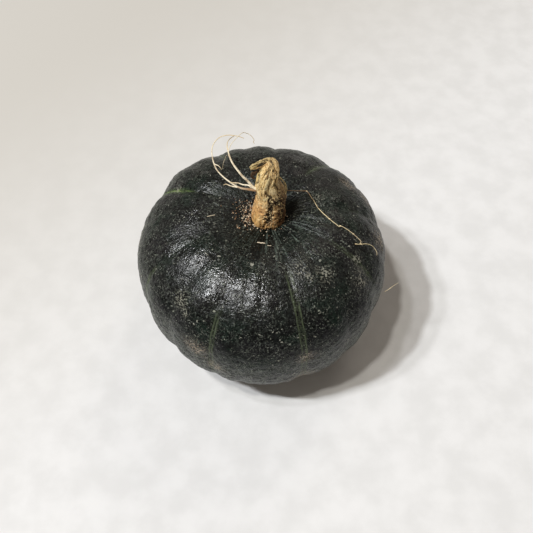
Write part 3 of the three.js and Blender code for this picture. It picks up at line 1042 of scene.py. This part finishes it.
def rind_wax(tree, field):
    """Strength of the wax's glints: more on the bosses, less on the rubbed sides and round the stem."""
    thin = add(tree, "MapRange", {"Value": field["side"], "To Min": 0.5, "To Max": 0.13})
    more = {0: times(field["polish"], 0.2), 1: times(field["edge"], 0.03)}
    whole = add(tree, "Math", {0: add(tree, "Math", more, operation="ADD"), 1: thin}, operation="ADD")
    return times(whole, add(tree, "MapRange", {"Value": field["hollow"], "To Min": 1.0, "To Max": 0.4}))


def waxy_rind():
    """Ripe squash rind under natural wax: near-black green with corky specks, broken stripes in the furrows
    and pale streaks round the stem. The wax gives broad glints that the wrinkles break up."""
    material, tree, shader, here, field = new_material("waxy_squash_rind", *RIND_TONES)
    rind_fields(tree, here, field)
    colour = ground_colour(field)
    for marks in (pale_curls_and_glints, scratches, furrow_lines, corky_marks):
        colour = marks(tree, field, colour)
    dull = add(tree, "MapRange", {"Value": field["mottle"], "From Min": 0.35, "From Max": 0.65,
                                  "To Min": 0.27, "To Max": 0.4})
    gloss = add(tree, "Math", {0: dull, 1: times(field["polish"], -0.1)}, operation="ADD")
    fill(tree, shader, {"Base Color": colour, "Roughness": gloss, "Specular IOR Level": rind_wax(tree, field),
                        "Normal": rind_bumps(tree, field), "IOR": 1.44})
    return material


def dry_cork():
    """The dried stalk: cork over wood fibre, matt, straw and olive above and orange at the foot. Painted
    light and
    shade: golden on its lit lower left and the ridges there, pale cream on its ridge tops, brown on its right
    side away from the lamps, and nearly black in its grooves and pits."""
    material, tree, shader, here, tone = new_material("dry_cork", *STEM_TONES)
    drum = add(tree, "Attribute", attribute_name="drum").outputs["Vector"]
    long = add(tree, "Mapping", {"Vector": drum, "Scale": (1, 1, 0.18)})
    fibre = add(tree, "TexNoise", {"Vector": long, "Scale": per_metre(0.9), "Detail": 4.0, "Roughness": 0.65})
    patch = add(tree, "TexNoise", {"Vector": here, "Scale": per_metre(5), "Detail": 2.0})
    crumb = add(tree, "TexNoise", {"Vector": here, "Scale": per_metre(0.8), "Detail": 3.0, "Roughness": 0.7})
    top = window(tone["up"], 0.2, 0.55)
    colour = coats(
        "#dda066",
        (window(patch, 0.4, 0.62), 1, "#edb878"),
        (top, 1, "#ffdb9a"),
        (times(top, window(patch, 0.5, 0.38)), 0.45, "#b89f5a"),
        # Gold: the hook's golden skin, and painted light on the stem's lower left, which faces the lamps.
        (times(tone["gold_and_lit"], window(patch, 0.36, 0.6)), 1, "#eebc72"),
        (times(tone["straw"], window(patch, 0.3, 0.55)), 1, "#fbe09a"),
        (times(tone["olive"], window(patch, 0.3, 0.52)), 0.65, "#d0b964"),
        (window(fibre, 0.52, 0.6), 0.8, "#ffe9b4"),
        (window(fibre, 0.47, 0.39), 0.8, "#7a4f20"),
        (window(crumb, 0.53, 0.66), 0.4, "#8a5526"),
        (window(crumb, 0.46, 0.36), 0.45, "#ffdda4"),
        # Painted highlight and painted shade: pale cream on the ridge tops, near-black in the grooves between
        # them.
        (window(tone["groove"], 0.35, 0.7), 0.7, "#ffe9b8"),
        (window(tone["groove"], 0.06, -0.38), 0.94, "#38230c"),
        # Painted light: brighter gold on the ridges of the lit lower left.
        (times(tone["gold_and_lit"], window(tone["groove"], -0.3, 0.2)), 0.5, "#f4bf76"),
        # Painted shade: dark brown over the stem's shaded right side; on the curl under the hook it is the
        # curl's own brown.
        (tone["brown_and_shade"], 0.9, "#4d301b"),
        # Painted shade: near-black in the pits and crumbled trenches.
        (window(tone["pit"], 0.3, 0.9), 0.94, "#1c130a"),
        (times(tone["cream"], window(fibre, 0.36, 0.5)), 1, "#ffe8ae"),
    )
    height = add(tree, "Math", {0: fibre, 1: times(crumb, 0.7)}, operation="ADD")
    bumped = add(tree, "Bump", {"Height": height, "Distance": 0.7 * MM, "Strength": 1.0})
    fill(tree, shader, {"Base Color": colour, "Roughness": 0.72, "IOR": 1.45, "Normal": bumped})
    return material


def dried_tendril(name, light, dark, tip):
    """A dried climbing tendril: woody thread, faintly silky, in bands of straw, brown near its root."""
    material, tree, shader, here, tone = new_material(name, "along", "root")
    bands = add(tree, "TexNoise", {"Vector": here, "Scale": per_metre(2.2), "Detail": 3.0})
    threads = add(tree, "TexNoise", {"Vector": here, "Scale": per_metre(0.35), "Detail": 2.0})
    colour = coats(
        light,
        (window(bands, 0.52, 0.66), 0.5, dark),
        (window(threads, 0.52, 0.64), 0.5, dark),
        (tone["root"], 0.9, dark),
        (window(tone["along"], 0.45, 0.9), 0.7, tip),
    )
    bumped = add(tree, "Bump", {"Height": threads, "Distance": 0.12 * MM, "Strength": 0.6})
    fill(tree, shader, {"Base Color": colour, "Roughness": 0.6, "Normal": bumped})
    return material


def crumbled_cork():
    """Loose grains and fibres of the stalk, matt, from pale straw to rust brown."""
    material, tree, shader, here, tone = new_material("crumbled_cork", "shade")
    crumb = add(tree, "TexNoise", {"Vector": here, "Scale": per_metre(0.5), "Detail": 2.0})
    colour = coats(
        "#453222",
        (window(tone["shade"], 0.1, 0.4), 1, "#a88464"),
        (window(tone["shade"], 0.5, 0.8), 1, "#ecdcc0"),
        (window(crumb, 0.5, 0.7), 0.6, "#332214"),
    )
    fill(tree, shader, {"Base Color": colour, "Roughness": 0.85})
    return material


def finish_piece(piece, material, slot, *nodes):
    """Gives a piece its finish, hangs it on the part's one body, and hides the imported parts that it stands
    for.
    """
    piece.data.materials.append(material)
    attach(piece, "root")
    if nodes:
        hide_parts(*nodes)


cork_crumbs = crumbled_cork()
finish_piece(make_fruit(), waxy_rind(), "rind", "fruit")
finish_piece(make_stem(), dry_cork(), "cork", "stem")
finish_piece(make_left_tendril(), dried_tendril("straw_tendril", "#fbf0d4", "#8c6436", "#c4ab7c"),
             "tendril_pale", "tendril_left")
finish_piece(make_right_tendril(), dried_tendril("brown_tendril", "#f8e6b8", "#7a5430", "#b5a68c"),
             "tendril_brown", "tendril_right")
finish_piece(make_crumbs(), cork_crumbs, "cork")
finish_piece(make_slivers(), cork_crumbs, "cork")


# Floor and light

# The floor in linear light: its two tones, and its far left, darker and warmer as painted shade
FLOOR_LIGHT = (0.83, 0.83, 0.83, 1)
FLOOR_DARK = (0.76, 0.76, 0.757, 1)
FLOOR_SHADED_FAR_LEFT = (0.6, 0.58, 0.54, 1)
FLOOR_HALF = 3000
FLOOR_ALBEDO = 0.8
# Each lamp: azimuth from +X, elevation, share of the lit floor's brightness, width, and colour
LAMPS = (
    ("low_lamp", 196.3, 60.0, 0.305, 150, (0.95, 0.98, 1.0)),
    ("left_lamp", 192, 55.4, 0.13, 150, (0.97, 0.97, 1.0)),
    ("high_lamp", 188, 69.1, 0.1, 170, (0.97, 0.97, 1.0)),
    ("right_lamp", 209.6, 71.2, 0.18, 170, (1.0, 0.97, 0.9)),
    ("back_lamp", 62, 42, 0.055, 1200, (1.0, 0.92, 0.8)),
)
LAMP_DISTANCE = 3000
ROOM_LIGHT = (0.18, 0.157, 0.136, 1.0)


def make_floor():
    """A plain pale floor, matt paper white, faintly uneven, and a little darker and warmer at its far left:
    painted shade.
    """
    half = FLOOR_HALF * MM
    mesh = bpy.data.meshes.new("floor")
    corners = [(-half, -half, 0), (half, -half, 0), (half, half, 0), (-half, half, 0)]
    mesh.from_pydata(corners, [], [(0, 1, 2, 3)])
    floor = put("floor", mesh)
    material, tree, shader, here, _ = new_material("pale_floor")
    uneven = add(tree, "TexNoise", {"Vector": here, "Scale": per_metre(14), "Detail": 6.0})
    along = add(tree, "VectorMath", {0: here, 1: (-0.66, 0.75, 0)}, operation="DOT_PRODUCT")
    colour = coats(
        FLOOR_LIGHT,
        (window(uneven, 0.3, 0.7), 1, FLOOR_DARK),
        # Painted shade: the floor darker and warmer towards its far left.
        (window(along.outputs["Value"], -0.03, 0.24), 1, FLOOR_SHADED_FAR_LEFT),
    )
    fill(tree, shader, {"Base Color": colour, "Roughness": 0.95, "Specular IOR Level": 0.1})
    mesh.materials.append(material)


def make_lights():
    """Four soft lamps above at the left, a wide weak one behind at the right, and a dim room. A lamp's power
    is share of the floor's light x pi squared x distance squared / (floor's albedo x sine of elevation)."""
    for name, azimuth, elevation, share, width, tint in LAMPS:
        turn, tilt = math.radians(azimuth), math.radians(elevation)
        towards = Vector((math.cos(turn) * math.cos(tilt), math.sin(turn) * math.cos(tilt), math.sin(tilt)))
        data = bpy.data.lights.new(name, "AREA")
        data.shape = "DISK"
        data.size = width * MM
        data.color = tint
        data.energy = share * (math.pi * LAMP_DISTANCE * MM) ** 2 / (FLOOR_ALBEDO * math.sin(tilt))
        lamp = put(name, data)
        lamp.location = towards * LAMP_DISTANCE * MM
        lamp.rotation_euler = towards.to_track_quat("Z", "Y").to_euler()
    world = bpy.data.worlds.new("room")
    world.use_nodes = True
    world.node_tree.nodes["Background"].inputs["Color"].default_value = ROOM_LIGHT
    bpy.context.scene.world = world


make_floor()
make_lights()
bpy.context.scene.view_settings.view_transform = "Standard"
